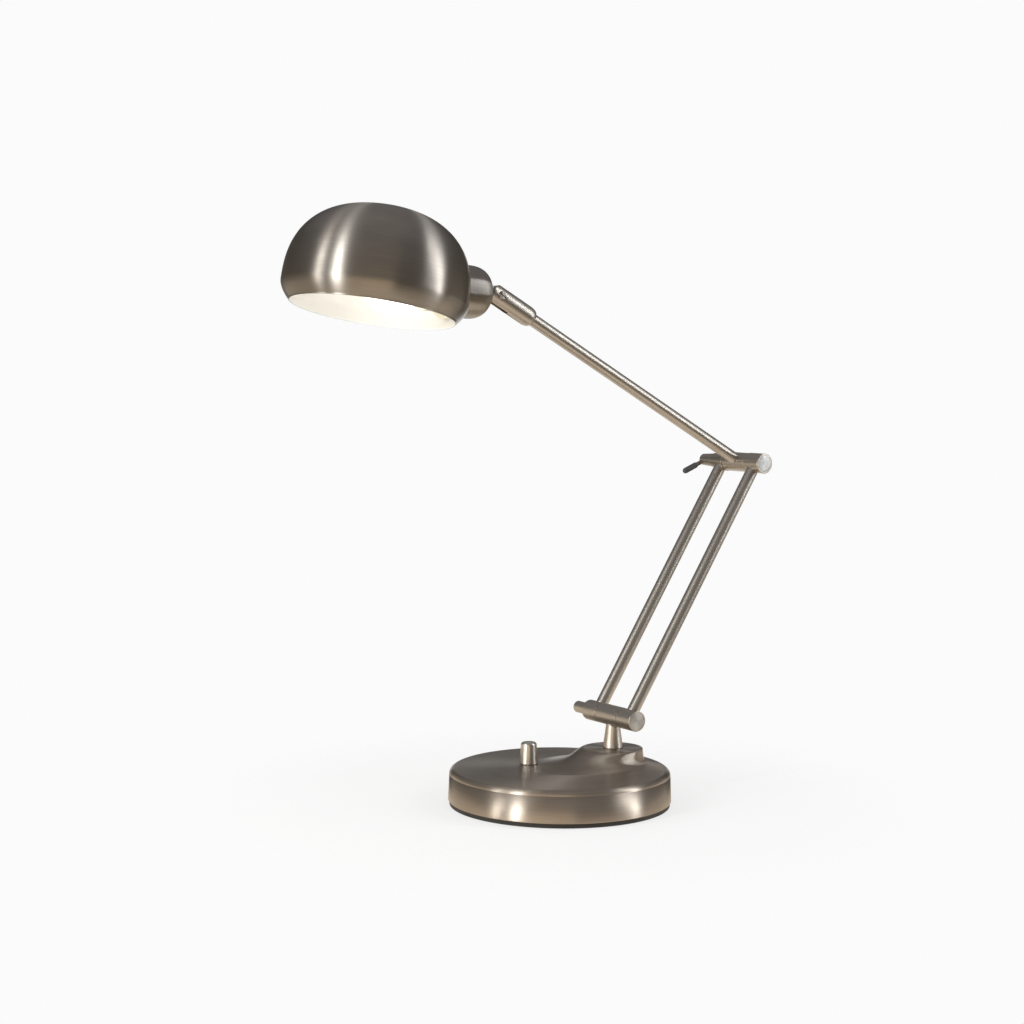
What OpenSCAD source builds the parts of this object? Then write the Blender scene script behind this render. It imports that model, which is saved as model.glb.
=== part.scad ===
// Desk lamp with a dome shade on a two-part friction arm and a weighted round base.
// Origin: centre of the base on the table. +Z up, the shade reaches towards -X,
// and both cross bars of the arm run along Y. Millimetres.

/* [Base] */
// Diameter of the metal cover at its lower edge
base_d = 170; // [150:1:200]
// Height of the flat top of the cover above the table
base_h = 27; // [26:0.5:34]
// Radius lost between the lower edge of the cover and its shoulder
base_draft = 0.8; // [0:0.1:2]
// Radius of the rounded shoulder
shoulder_r = 4; // [3:0.5:6]
// Wall of the pressed steel cover
cover_wall = 1.6; // [1.2:0.1:2]
// Height of the black rubber pad under the base
foot_h = 3.3; // [2.5:0.1:4]
// How far the rubber pad is set in from the lower edge of the cover
foot_inset = 1; // [0.5:0.1:2]
// Thickness of the bottom plate
plate_t = 1.5; // [1:0.1:2]
// Thickness of the cast iron weight
ballast_t = 11; // [8:0.5:12]
// Radial gap between the weight and the cover
ballast_gap = 2; // [1:0.5:4]
// Distance of the base screws from the centre
screw_ring_r = 62; // [55:1:66]
// Number of base screws
screw_count = 3; // [3:1:5]
// Shank diameter of the base screws
screw_d = 3.9; // [3:0.1:4.5]

/* [Boss and post] */
// Distance of the post from the centre of the base
post_x = 50; // [46:1:50]
// Height of the boss above the flat top
boss_h = 10.5; // [9:0.5:12.5]
// Radius of the flat on top of the boss
boss_r = 23; // [20:0.5:24.5]
// How far the flare of the boss reaches past the centre, towards the shade
flare_front = 25; // [18:1:40]
// Gap between the rear of the flare and the side of the base
flare_back_gap = 9; // [8:0.5:10]
// Half width of the flare across the base
flare_half_w = 38; // [36:1:48]
// Diameter of the post where it stands on the boss
post_d_bottom = 16; // [14:0.5:18]
// Diameter of the post under the cross bar
post_d_top = 11; // [10.5:0.1:13]
// Height of the lower pivot axis above the table
lower_axis_z = 62.6; // [60:0.1:72]
// Diameter of the threaded tube that the post turns with
tube_d = 8; // [6:0.5:8]
// Bore of the threaded tube, for the lead
tube_bore = 5.2; // [3:0.1:5.4]

/* [Cross bars] */
// Diameter of both cross bars
bar_d = 15.8; // [15:0.1:18]
// Diameter of the middle hub at the elbow
elbow_hub_d = 15.2; // [14.5:0.1:17]
// Outer diameter of the tapered far hub at the elbow
far_end_d = 11.6; // [11:0.1:14]
// Half length of a cross bar without its nut or clamp
bar_half = 31; // [29:0.5:36]
// Half length of the turning middle hub
hub_half = 13; // [11:0.5:13.5]
// Thickness of each friction washer
washer_t = 0.5; // [0.3:0.1:0.8]
// Diameter of the steel axles
axle_d = 6; // [5:0.1:6.2]
// Diameter of the axle heads
head_d = 9; // [8:0.1:10]
// Length of the axle heads
head_l = 3.6; // [3:0.1:3.8]
// Diameter of the round end caps
cap_d = 12.6; // [11:0.1:13]
// Thickness of the end caps
cap_t = 1.5; // [1:0.1:1.8]
// Diameter of the round nut on the lower axle
nut_d = 9.2; // [8:0.1:12]
// Length of the round nut on the lower axle
nut_l = 17; // [12:0.5:20]

/* [Arms] */
// Distance between the lower pivot and the elbow
rod_len = 229.6; // [180:0.1:300]
// Lean of the lower arm away from the vertical, to the rear
rod_lean = 32.4; // [20:0.1:45]
// Outer diameter of the rods and the upper arm
rod_d = 9.4; // [8:0.1:9.8]
// Wall of the rods and the upper arm
rod_wall = 1.1; // [0.8:0.1:1.5]
// Half the distance between the two lower rods
rod_y = 20.2; // [20:0.1:22]
// Distance between the elbow and the head pivot
arm_len = 265; // [200:1:320]
// Rise of the upper arm above the horizontal
arm_rise = 28.7; // [10:0.1:40]
// Diameter of the electric leads
lead_d = 3.6; // [3:0.1:4]

/* [Clamp] */
// Diameter of the clamp hub where it meets the cross bar
clamp_d = 11; // [10:0.1:12]
// Diameter of the outer end of the clamp hub
clamp_end_d = 9.2; // [8:0.1:9.8]
// Length of the clamp hub
clamp_l = 14.5; // [12:0.5:18]
// Diameter of the lever stem
stem_d = 3.4; // [3:0.1:3.8]
// Length of the lever from the axle to the tip
lever_l = 24.8; // [22:0.2:34]
// Diameter of the dark grip on the lever
grip_d = 4.7; // [4.4:0.1:6]
// Length of the grip
grip_l = 14; // [10:0.5:15]
// Angle of the lever below the horizontal
lever_drop = 22.5; // [0:0.5:40]

/* [Fork and tongue] */
// Diameter of the slotted fork sleeve
fork_d = 15; // [14:0.1:17]
// Length of the fork behind the pivot
fork_l = 35; // [32:0.5:50]
// Depth of the slot behind the pivot
slot_l = 13; // [11:0.5:15]
// Thickness of the tongue between the tines
tongue_t = 4; // [3:0.1:4.5]
// Diameter of the pivot pin
pin_d = 4; // [3:0.1:4.5]
// Diameter of the collar between the tongue and the cup
collar_d = 10; // [9:0.1:12]

/* [Cup and lampholder] */
// Distance from the pivot to the rear of the cup
cup_start = 9.4; // [9:0.1:12]
// Outer radius of the cup
cup_r = 19.4; // [19:0.1:21]
// Length of the rounded end of the cup
cup_round = 18; // [14:0.5:20]
// Wall of the cup
cup_wall = 1.2; // [1:0.1:1.5]
// Rise of the cup axis above the horizontal
head_rise = 4.45; // [0:0.05:10]
// Outer radius of the lampholder
holder_r = 17; // [16.5:0.1:17.5]
// Distance from the pivot to the mouth of the lampholder
holder_end = 62; // [58:0.5:64]

/* [Bulb] */
// Diameter of the bulb
bulb_d = 45; // [40:1:46]
// Distance from the pivot to the centre of the bulb
bulb_u = 88.5; // [85:0.5:92]
// Radius of the screw cap of the bulb
bulb_cap_r = 13; // [12.5:0.1:13.2]

/* [Shade] */
// Widest radius of the dome
shade_r = 66.9; // [62:0.1:72]
// Height of the dome above its widest circle
shade_h = 61.1; // [56:0.1:66]
// Roundness of the dome outline, where 2 is an ellipse
shade_power = 2.44; // [2.2:0.01:2.7]
// Radius of the open rim
rim_r = 59.5; // [57:0.1:62]
// Depth of the rim below the widest circle
rim_drop = 13.4; // [10:0.1:18]
// Wall of the spun shade
shade_wall = 1; // [0.8:0.1:1.4]
// Distance from the pivot to the axis of the dome
shade_u = 102.1; // [100:0.1:110]
// Distance from the cup axis down to the widest circle
shade_drop = 8.6; // [5:0.1:9]
// Tilt of the dome axis back towards the cup
shade_pitch = 6.45; // [0:0.05:8]
// Turn of the dome about the cup axis
shade_turn = -2.8; // [-3:0.1:4]

/* [Dimmer] */
// Place of the dimmer along X
dimmer_x = -11.4; // [-14:0.2:-8]
// Place of the dimmer along Y
dimmer_y = 25.5; // [22:0.5:30]
// Diameter of the knob at its foot
knob_d_bottom = 14; // [13:0.1:16]
// Diameter of the knob at its top
knob_d_top = 12; // [10:0.1:12.8]
// Height of the knob
knob_h = 16.5; // [14:0.5:20]
// Diameter of the spindle
spindle_d = 4.8; // [4:0.1:5]
// Diameter of the threaded bush of the dimmer
bush_d = 7; // [6.4:0.1:7.2]

/* [Clearances] */
// Radial gap of pieces that turn in each other
run_gap = 0.05; // [0.03:0.01:0.08]
// Radial gap of pieces that are pushed together
fit_gap = 0.03; // [0.02:0.01:0.05]
// Gap between pieces that only pass each other
pass_gap = 0.3; // [0.2:0.05:0.5]

/* [Hidden] */
$fn = 96;

nickel = "#a39a8e";
steel = "#b9b9b6";
black = "#1d1d1d";
copper = "#c98d5a";
white = "#f4f1e8";

base_r = base_d / 2;
cover_top = base_h - cover_wall;
flat_r = base_r - base_draft - shoulder_r;
cover_inner_r = base_r - base_draft - cover_wall;
plate_top = foot_h + plate_t;
foot_r = base_r - foot_inset;
ballast_r = cover_inner_r - ballast_gap;
pillar_r = screw_d / 2 + 2.5;
screw_head_r = screw_d / 2 + 1.7;
screw_head_h = 2.1;
screw_bite = 8;
boss_top = base_h + boss_h;
boss_wall = 3;
boss_roof = boss_top - boss_wall;
boss_edge = 0.3;
boss_sink = 0.6;
boss_rings = 12;
lip_share = 0.6;
lip_reach = 0.22;
flare_power = 0.75;
boss_sides = 48;
flare_back = base_r - flare_back_gap;
tube_r = tube_d / 2;
tube_below = 11;
tube_top = lower_axis_z - tube_r;
swivel_washer_t = 1;
swivel_washer_r = tube_r + 4;
swivel_nut_h = 5;
swivel_nut_r = tube_r + 3.5;
inlet_z = (foot_h + base_h) / 2 + 1.5;
inlet_r = 4;
inlet_bore_r = 3;
inlet_flange_r = 5.2;
inlet_flange_t = 1.5;
inlet_flange_gap = 0.3;

bar_r = bar_d / 2;
axle_r = axle_d / 2;
axle_bore_r = axle_r + run_gap;
end_hub_start = hub_half + washer_t;
bar_chamfer = 0.5;
cap_chamfer = 0.3;
rod_r = rod_d / 2;
rod_bore_r = rod_r - rod_wall;
rod_seat = axle_bore_r + 0.6;
rod_socket_r = rod_r + fit_gap;
lead_r = lead_d / 2;
lead_off = rod_bore_r - lead_r - 0.1;
lead_inset = 9;
nut_bore_l = nut_l - 2.5;
nut_chamfer = 1.2;
axle_out = nut_bore_l - 0.5;
clamp_chamfer = 0.6;
stem_y = bar_half + clamp_l - stem_d / 2 - 1;
clamp_bore_l = clamp_l - stem_d - 2;
elbow_x = post_x + rod_len * sin(rod_lean);
elbow_z = lower_axis_z + rod_len * cos(rod_lean);

fork_r = fork_d / 2;
fork_shoulder = 6;
fork_overlap = fork_l - slot_l - 2;
slot_w = tongue_t + 2 * washer_t;
fork_washer_r = pin_d / 2 + 2.6;
tongue_r = fork_r - 1.2;
collar_start = fork_r + pass_gap;
stud_r = 4;
stud_bore_r = 2.4;
stud_l = 9;
pin_r = pin_d / 2;
pin_head_r = pin_r + 1.2;
pin_seat_y = fork_r - 1.7;
pin_head_l = 1.6;
pivot_x = elbow_x - arm_len * cos(arm_rise);
pivot_z = elbow_z + arm_len * sin(arm_rise);

cup_power = 2.76;
cup_steps = 14;
cup_floor_rise = 0.5;
tongue_nut_h = 3;
tongue_nut_r = stud_r + 3;
stud_bite = 2.5;
holder_start = cup_start + stud_l - stud_bite;
holder_rear_t = 14;
holder_rear_r = holder_r - 5;
holder_taper = 7;
holder_mouth_r = bulb_cap_r + 0.6;
contact_r = 3;
contact_h = 3;
bulb_r = bulb_d / 2;
bulb_cap_start = holder_start + holder_rear_t + contact_h;
bulb_cap_end = holder_end - 1;
bulb_tip_r = 5;
bulb_wall = 0.9;
bulb_cap_wall = 0.8;
bulb_neck_r = bulb_cap_r - 0.3;
shade_steps = 20;
rim_steps = 5;
rim_power = 1.8;
shade_hole_r = holder_r + pass_gap;
ring_r = holder_r + 4.5;
ring_t = 4;
ring_start = shade_u - sqrt(pow(shade_r - shade_wall, 2) - ring_r * ring_r) + 1.6;
cup_front = shade_u - sqrt(shade_r * shade_r - cup_r * cup_r) + 6;

spot_r = knob_d_bottom / 2 + 2;
dimmer_box_w = 26;
dimmer_box_l = 22;
dimmer_box_h = 12;
dimmer_well_r = 18.5;
bush_r = bush_d / 2;
bush_top = base_h + 3.6;
dimmer_nut_h = 2;
dimmer_nut_r = bush_r + 1.8;
spindle_r = spindle_d / 2;
knob_gap = 0.4;
knob_recess_r = dimmer_nut_r + pass_gap;
knob_recess_h = bush_top - base_h - knob_gap + 0.6;
knob_round = 2;
spindle_top = base_h + knob_gap + knob_h - 3;

// Points of a circular arc in a profile, from angle a0 to a1
function arc(cx, cz, r, a0, a1, n) =
  [for (i = [0:n]) let (a = a0 + (a1 - a0) * i / n) [cx + r * cos(a), cz + r * sin(a)]];

// A cylinder along Y between two places
module y_cylinder(r, y0, y1) {
  translate([0, y0, 0]) rotate([-90, 0, 0]) cylinder(r = r, h = y1 - y0);
}

// A turned shape about Y, its profile given as [radius, y]
module y_turned(profile) {
  rotate([-90, 0, 0]) rotate_extrude() polygon(profile);
}

// A turned shape about the line towards the shade, its profile given as [radius, distance]
module u_turned(profile) {
  rotate([0, -90, 0]) rotate_extrude() polygon(profile);
}

// A cylinder towards the shade between two distances
module u_cylinder(r, u0, u1) {
  translate([-u0, 0, 0]) rotate([0, -90, 0]) cylinder(r = r, h = u1 - u0);
}

// The places that the moving parts are built in, at rest
module at_post() { translate([post_x, 0, 0]) children(); }
module at_dimmer() { translate([dimmer_x, dimmer_y, 0]) children(); }
module at_lower_axis() { translate([post_x, 0, lower_axis_z]) children(); }
module along_rods() { at_lower_axis() rotate([0, rod_lean, 0]) children(); }
module at_rod_top() { along_rods() translate([0, 0, rod_len]) children(); }
module along_arm() { translate([elbow_x, 0, elbow_z]) rotate([0, arm_rise, 0]) children(); }
module at_pivot() { translate([pivot_x, 0, pivot_z]) children(); }
module along_fork() { at_pivot() rotate([0, arm_rise, 0]) children(); }
module along_cup() { at_pivot() rotate([0, head_rise, 0]) children(); }
module at_shade() {
  along_cup() rotate([shade_turn, 0, 0]) translate([-shade_u, 0, -shade_drop])
    rotate([0, shade_pitch, 0]) children();
}
module at_screws() {
  for (i = [0:screw_count - 1]) rotate([0, 0, 60 + 360 * i / screw_count])
    translate([screw_ring_r, 0, 0]) children();
}

// ---- Base ----

// One ring of the flare: share 0 is the edge of the flat on the boss, share 1 its foot
function flare_ring(share, z) =
  let (
    mid = post_x + ((flare_back - flare_front) / 2 - post_x) * share,
    rx = boss_r + ((flare_back + flare_front) / 2 - boss_r) * share,
    ry = boss_r + (flare_half_w - boss_r) * share
  ) [for (i = [0:boss_sides - 1]) let (a = 360 * i / boss_sides)
    [mid + rx * cos(a), ry * sin(a), z]];

// Height of the flare over the flat top of the cover: steep beside the boss, then a
// long soft fall
function flare_height(share) =
  boss_edge + (boss_h - boss_edge) * (lip_share * exp(-pow(share / lip_reach, 2))
    + (1 - lip_share) * pow(cos(90 * pow(share, flare_power)), 2));

// Shares of the rings, close together at the step
function ring_share(k) = pow(k / boss_rings, 2);

// Raised boss that blends into the cover in a long soft flare
module boss_form() {
  n = boss_sides;
  rings = boss_rings + 1;
  points = concat(
    [for (k = [0:boss_rings]) each
      flare_ring(ring_share(k), base_h + flare_height(ring_share(k)))],
    flare_ring(1, base_h - boss_sink));
  sides = [for (k = [0:rings - 1], i = [0:n - 1]) let (j = (i + 1) % n) each
    [[k * n + i, k * n + j, (k + 1) * n + j], [k * n + i, (k + 1) * n + j, (k + 1) * n + i]]];
  faces = concat(sides, [[for (i = [0:n - 1]) n - 1 - i]], [[for (i = [0:n - 1]) rings * n + i]]);
  polyhedron(points, faces);
}

// Pressed steel cover: drafted side, rounded shoulder, flat top and hollow boss
module base_cover() {
  color(nickel) difference() {
    union() {
      rotate_extrude() polygon(concat(
        [[0, foot_h], [base_r, foot_h]],
        arc(flat_r, base_h - shoulder_r, shoulder_r, 0, 90, 8),
        [[0, base_h]]));
      boss_form();
    }
    difference() {
      rotate_extrude() polygon(concat(
        [[0, foot_h - 1], [cover_inner_r, foot_h - 1]],
        arc(flat_r, base_h - shoulder_r, shoulder_r - cover_wall, 0, 90, 8),
        [[0, cover_top]]));
      at_screws() translate([0, 0, plate_top]) cylinder(r = pillar_r, h = base_h - plate_top);
    }
    at_post() translate([-2, 0, cover_top - 0.1])
      cylinder(r1 = boss_r + 3, r2 = boss_r - 9, h = boss_roof - cover_top + 0.1);
    at_post() cylinder(r = tube_r + run_gap, h = boss_top + 1);
    at_screws() cylinder(r = screw_d / 2 + run_gap, h = foot_h + screw_bite + 3);
    at_dimmer() cylinder(r = bush_r + run_gap, h = base_h + 1);
    at_dimmer() translate([0, 0, base_h]) cylinder(r = spot_r, h = boss_h);
    translate([0, 0, inlet_z]) rotate([0, 90, 0]) cylinder(r = inlet_r + run_gap, h = base_r + 1);
  }
}

// Steel disc that closes the base
module bottom_plate() {
  color(steel) difference() {
    translate([0, 0, foot_h]) cylinder(r = cover_inner_r - pass_gap, h = plate_t);
    at_screws() cylinder(r = screw_d / 2 + pass_gap, h = plate_top + 1);
  }
}

// Cast iron weight inside the base, open around the dimmer
module ballast() {
  color("#4a4a4c") difference() {
    translate([0, 0, plate_top]) cylinder(r = ballast_r, h = ballast_t);
    at_dimmer() cylinder(r = dimmer_well_r, h = base_h);
    at_screws() cylinder(r = pillar_r + pass_gap, h = base_h);
  }
}

// Black rubber pad that the lamp stands on, with a hole for each screw head
module foot_pad() {
  color(black) difference() {
    cylinder(r = foot_r, h = foot_h);
    at_screws() translate([0, 0, -1]) cylinder(r = screw_head_r + pass_gap, h = foot_h + 2);
  }
}

// Screws that hold the plate and the weight to the cover
module base_screws() {
  color(steel) at_screws() difference() {
    union() {
      translate([0, 0, foot_h - screw_head_h]) cylinder(r = screw_head_r, h = screw_head_h);
      translate([0, 0, foot_h - 1]) cylinder(r = screw_d / 2, h = screw_bite + 1);
    }
    for (a = [0, 90]) rotate([0, 0, a]) translate([-2, -0.5, foot_h - screw_head_h - 1])
      cube([4, 1, 2]);
  }
}

// Rubber bush that lines the cord inlet at the rear of the base
module cord_bush() {
  wall_out = base_r - inlet_flange_gap;
  wall_in = cover_inner_r - pass_gap;
  color(black) translate([0, 0, inlet_z]) rotate([0, 90, 0]) rotate_extrude() polygon([
    [inlet_bore_r, wall_in - inlet_flange_t], [inlet_flange_r, wall_in - inlet_flange_t],
    [inlet_flange_r, wall_in], [inlet_r, wall_in],
    [inlet_r, wall_out], [inlet_flange_r, wall_out],
    [inlet_flange_r - 0.6, wall_out + inlet_flange_t],
    [inlet_bore_r, wall_out + inlet_flange_t]]);
}

// ---- Dimmer ----

// Body of the dimmer under the cover, with its threaded bush
module dimmer_box() {
  color("#2e3a4a") at_dimmer() difference() {
    union() {
      translate([-dimmer_box_w / 2, -dimmer_box_l / 2, cover_top - dimmer_box_h])
        cube([dimmer_box_w, dimmer_box_l, dimmer_box_h]);
      translate([0, 0, cover_top - 1]) cylinder(r = bush_r, h = bush_top - cover_top + 1);
    }
    translate([0, 0, cover_top - dimmer_box_h + 2]) cylinder(r = spindle_r + run_gap, h = base_h);
  }
}

// Hexagonal nut that holds the dimmer, hidden in the knob
module dimmer_nut() {
  color(steel) at_dimmer() difference() {
    translate([0, 0, base_h]) cylinder(r = dimmer_nut_r, h = dimmer_nut_h, $fn = 6);
    translate([0, 0, base_h - 1]) cylinder(r = bush_r + fit_gap, h = dimmer_nut_h + 2);
  }
}

// Spindle of the dimmer, which turns with the knob
module dimmer_spindle() {
  color(steel) at_dimmer() translate([0, 0, cover_top - dimmer_box_h + 2])
    cylinder(r = spindle_r, h = spindle_top - cover_top + dimmer_box_h - 2);
}

// Tapered metal knob with a rounded top edge
module dimmer_knob() {
  foot = base_h + knob_gap;
  top = foot + knob_h;
  color(nickel) at_dimmer() difference() {
    rotate_extrude() polygon(concat(
      [[0, foot], [knob_d_bottom / 2, foot]],
      arc(knob_d_top / 2 - knob_round, top - knob_round, knob_round, 0, 90, 6),
      [[0, top]]));
    translate([0, 0, foot - 1]) cylinder(r = knob_recess_r, h = knob_recess_h + 1);
    translate([0, 0, foot]) cylinder(r = spindle_r + fit_gap, h = spindle_top - foot);
  }
}

// ---- Post, which turns on the boss ----

// Turned post, wider at the foot, its top shaped to the middle hub
module post() {
  top = lower_axis_z - bar_r / 2;
  height = top - boss_top;
  steps = 10;
  color(nickel) difference() {
    at_post() rotate_extrude() polygon(concat(
      [[0, boss_top]],
      [for (i = [0:steps]) let (t = i / steps)
        [(post_d_top + (post_d_bottom - post_d_top) * pow(1 - t, 1.3)) / 2, boss_top + height * t]],
      [[0, top]]));
    at_lower_axis() y_cylinder(bar_r, -hub_half, hub_half);
    at_post() cylinder(r = tube_r + fit_gap, h = lower_axis_z);
  }
}

// Threaded tube through the boss, which holds the post and carries the lead
module swivel_tube() {
  color(steel) at_post() difference() {
    translate([0, 0, boss_top - tube_below]) cylinder(r = tube_r, h = tube_top - boss_top + tube_below);
    cylinder(r = tube_bore / 2, h = lower_axis_z);
  }
}

// Washer between the roof of the boss and the nut
module swivel_washer() {
  color(steel) at_post() translate([0, 0, boss_roof - swivel_washer_t]) difference() {
    cylinder(r = swivel_washer_r, h = swivel_washer_t);
    translate([0, 0, -1]) cylinder(r = tube_r + fit_gap, h = swivel_washer_t + 2);
  }
}

// Lock nut of the swivel
module swivel_nut() {
  color(steel) at_post() translate([0, 0, boss_roof - swivel_washer_t - swivel_nut_h]) difference() {
    cylinder(r = swivel_nut_r, h = swivel_nut_h, $fn = 6);
    translate([0, 0, -1]) cylinder(r = tube_r + fit_gap, h = swivel_nut_h + 2);
  }
}

// Middle hub of the lower cross bar, fixed on the post
module lower_middle_hub() {
  color(nickel) at_lower_axis() difference() {
    y_cylinder(bar_r, -hub_half, hub_half);
    y_cylinder(axle_bore_r, -hub_half - 1, hub_half + 1);
    translate([0, 0, -bar_r - 1]) cylinder(r = tube_r + fit_gap, h = bar_r + 1 - tube_r);
  }
}

// ---- Pieces that both cross bars share ----

// Outer hub, its rod socket cut by the child. side -1 has the end cap, side 1 the plain end
module end_hub(side, end_r = bar_r) {
  inner = end_hub_start;
  outer = bar_half;
  difference() {
    y_turned(side > 0
      ? [[0, inner], [bar_r, inner], [end_r, outer - bar_chamfer],
        [end_r - bar_chamfer, outer], [0, outer]]
      : [[0, -outer], [end_r - bar_chamfer, -outer], [end_r, -outer + bar_chamfer],
        [bar_r, -inner], [0, -inner]]);
    y_cylinder(axle_bore_r, -outer - 1, outer + 1);
    if (side < 0) {
      y_cylinder(cap_d / 2 + fit_gap, -outer - 1, -outer + cap_t);
      y_cylinder(head_d / 2 + fit_gap, -outer, -outer + cap_t + head_l);
    }
    children();
  }
}

// Bolt through a cross bar, its round head under the end cap
module bar_axle(out) {
  head = -bar_half + cap_t;
  union() {
    y_cylinder(head_d / 2, head, head + head_l);
    y_cylinder(axle_r, head + head_l - 1, bar_half + out);
  }
}

// The two friction washers beside the middle hub
module bar_washers(r) {
  for (y = [-hub_half - washer_t, hub_half]) difference() {
    y_cylinder(r, y, y + washer_t);
    y_cylinder(axle_bore_r, y - 1, y + washer_t + 1);
  }
}

// Round cap that closes the near end of a cross bar
module bar_cap() {
  edge = -bar_half;
  y_turned([[0, edge], [cap_d / 2 - cap_chamfer, edge], [cap_d / 2, edge + cap_chamfer],
    [cap_d / 2, edge + cap_t], [0, edge + cap_t]]);
}

// Sockets of the rods in the hubs, cut from rod_seat outwards
module rod_socket(y, up) {
  translate([0, y, 0]) mirror([0, 0, up ? 0 : 1]) translate([0, 0, rod_seat])
    cylinder(r = rod_socket_r, h = bar_r);
}

// ---- Lower arm ----

module lower_near_hub() { color(nickel) along_rods() end_hub(-1) rod_socket(-rod_y, true); }
module lower_far_hub() { color(nickel) along_rods() end_hub(1) rod_socket(rod_y, true); }
module upper_near_hub() { color(nickel) at_rod_top() end_hub(-1) rod_socket(-rod_y, false); }
module upper_far_hub() { color(nickel) at_rod_top() end_hub(1, far_end_d / 2) rod_socket(rod_y, false); }
module lower_washers() { color(black) along_rods() bar_washers(bar_r - 0.4); }
module elbow_washers() { color(black) at_rod_top() bar_washers(elbow_hub_d / 2 - 0.4); }
module lower_axle() { color(steel) along_rods() bar_axle(axle_out); }
module elbow_axle() { color(steel) at_rod_top() bar_axle(clamp_bore_l - 0.5); }
module lower_end_cap() { color(steel) along_rods() bar_cap(); }
module upper_end_cap() { color(steel) at_rod_top() bar_cap(); }

// Steel tube between the two cross bars
module rod(y) {
  color(nickel) along_rods() translate([0, y, rod_seat]) difference() {
    cylinder(r = rod_r, h = rod_len - 2 * rod_seat);
    translate([0, 0, -1]) cylinder(r = rod_bore_r, h = rod_len);
  }
}
module near_rod() { rod(-rod_y); }
module far_rod() { rod(rod_y); }

// Lead that runs up inside the far rod
module rod_lead() {
  color(black) along_rods() translate([lead_off, rod_y, lead_inset])
    cylinder(r = lead_r, h = rod_len - 2 * lead_inset);
}

// Round nut that sets the friction of the lower pivot
module lower_round_nut() {
  end = bar_half + nut_l;
  color(nickel) along_rods() difference() {
    y_turned([[0, bar_half], [nut_d / 2, bar_half], [nut_d / 2, end - nut_chamfer],
      [nut_d / 2 - nut_chamfer, end], [0, end]]);
    y_cylinder(axle_r + run_gap, bar_half - 1, bar_half + nut_bore_l);
  }
}

// ---- Clamp at the elbow ----

module along_lever() {
  at_rod_top() rotate([0, -rod_lean - lever_drop, 0]) translate([0, stem_y, 0]) children();
}

// Hub of the clamp, screwed on the end of the elbow axle
module clamp_hub() {
  end = bar_half + clamp_l;
  r_end = clamp_end_d / 2;
  color(nickel) difference() {
    at_rod_top() y_turned([[0, bar_half], [clamp_d / 2, bar_half], [r_end, end - clamp_chamfer],
      [r_end - clamp_chamfer, end], [0, end]]);
    at_rod_top() y_cylinder(axle_r + run_gap, bar_half - 1, bar_half + clamp_bore_l);
    along_lever() u_cylinder(stem_d / 2 + fit_gap, 0, clamp_d);
  }
}

// Stem of the lever
module lever_stem() {
  color(nickel) along_lever() u_cylinder(stem_d / 2, 0, lever_l - 2);
}

// Dark sleeve on the lever, with rounded ends
module lever_grip() {
  r = grip_d / 2;
  start = lever_l - grip_l;
  color("#3b3b3a") along_lever() difference() {
    u_turned(concat([[0, start], [r - 0.5, start], [r, start + 0.5]],
      arc(0, lever_l - r, r, 0, 90, 8)));
    u_cylinder(stem_d / 2 + fit_gap, start - 1, lever_l - 2);
  }
}

// ---- Upper arm ----

// Middle hub of the upper cross bar, which carries the upper arm
module elbow_middle_hub() {
  color(nickel) along_arm() difference() {
    y_cylinder(elbow_hub_d / 2, -hub_half, hub_half);
    y_cylinder(axle_bore_r, -hub_half - 1, hub_half + 1);
    u_cylinder(rod_socket_r, rod_seat, bar_r + 2);
  }
}

// Steel tube from the elbow into the fork
module upper_arm() {
  color(nickel) along_arm() difference() {
    u_cylinder(rod_r, rod_seat, arm_len - fork_l + fork_overlap);
    u_cylinder(rod_bore_r, 0, arm_len);
  }
}

// Lead that runs through the upper arm
module arm_lead() {
  color(black) along_arm() translate([0, 0, -lead_off])
    u_cylinder(lead_r, lead_inset, arm_len - fork_l + fork_overlap - 1);
}

// Turned sleeve with a rounded shoulder, slotted for the tongue and rounded about the pivot
module fork() {
  color(nickel) along_fork() difference() {
    intersection() {
      u_turned(concat([[0, -fork_l], [rod_r + 0.6, -fork_l]],
        [for (i = [0:6]) let (a = 15 * i)
          [rod_r + 0.6 + (fork_r - rod_r - 0.6) * sin(a), -fork_l + fork_shoulder * (1 - cos(a)) + 0.4]],
        [[fork_r, fork_r], [0, fork_r]]));
      union() {
        y_cylinder(fork_r, -fork_r, fork_r);
        translate([0, -fork_r, -fork_r]) cube([fork_l + 1, fork_d, fork_d]);
      }
    }
    translate([-fork_d, -slot_w / 2, -fork_d]) cube([slot_l + fork_d, slot_w, 2 * fork_d]);
    u_cylinder(rod_socket_r, -fork_l - 1, -fork_l + fork_overlap);
    u_cylinder(stud_bore_r, -fork_l, 0);
    y_cylinder(pin_r + fit_gap, -fork_r, fork_r);
    y_cylinder(pin_head_r + fit_gap, -fork_d, -pin_seat_y);
    y_cylinder(pin_head_r + fit_gap, pin_seat_y, fork_d);
  }
}

// Thin washers between the tines and the tongue
module fork_washers() {
  color(black) along_fork() for (y = [-slot_w / 2, tongue_t / 2]) difference() {
    y_cylinder(fork_washer_r, y, y + washer_t);
    y_cylinder(pin_r + run_gap, y - 1, y + washer_t + 1);
  }
}

// Pivot screw through the fork and the tongue, with a slotted head
module pivot_pin() {
  color(steel) along_fork() difference() {
    union() {
      y_cylinder(pin_r, -pin_seat_y - 0.5, pin_seat_y + pin_head_l);
      y_cylinder(pin_head_r, -pin_seat_y - pin_head_l, -pin_seat_y);
    }
    translate([-pin_head_r, -pin_seat_y - pin_head_l - 0.5, -0.4]) cube([2 * pin_head_r, 1.1, 0.8]);
  }
}

// Small nut on the far side of the fork
module pivot_nut() {
  color(steel) along_fork() difference() {
    y_cylinder(pin_head_r, pin_seat_y, pin_seat_y + pin_head_l);
    y_cylinder(pin_r + fit_gap, pin_seat_y - 1, pin_seat_y + pin_head_l + 1);
  }
}

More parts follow.
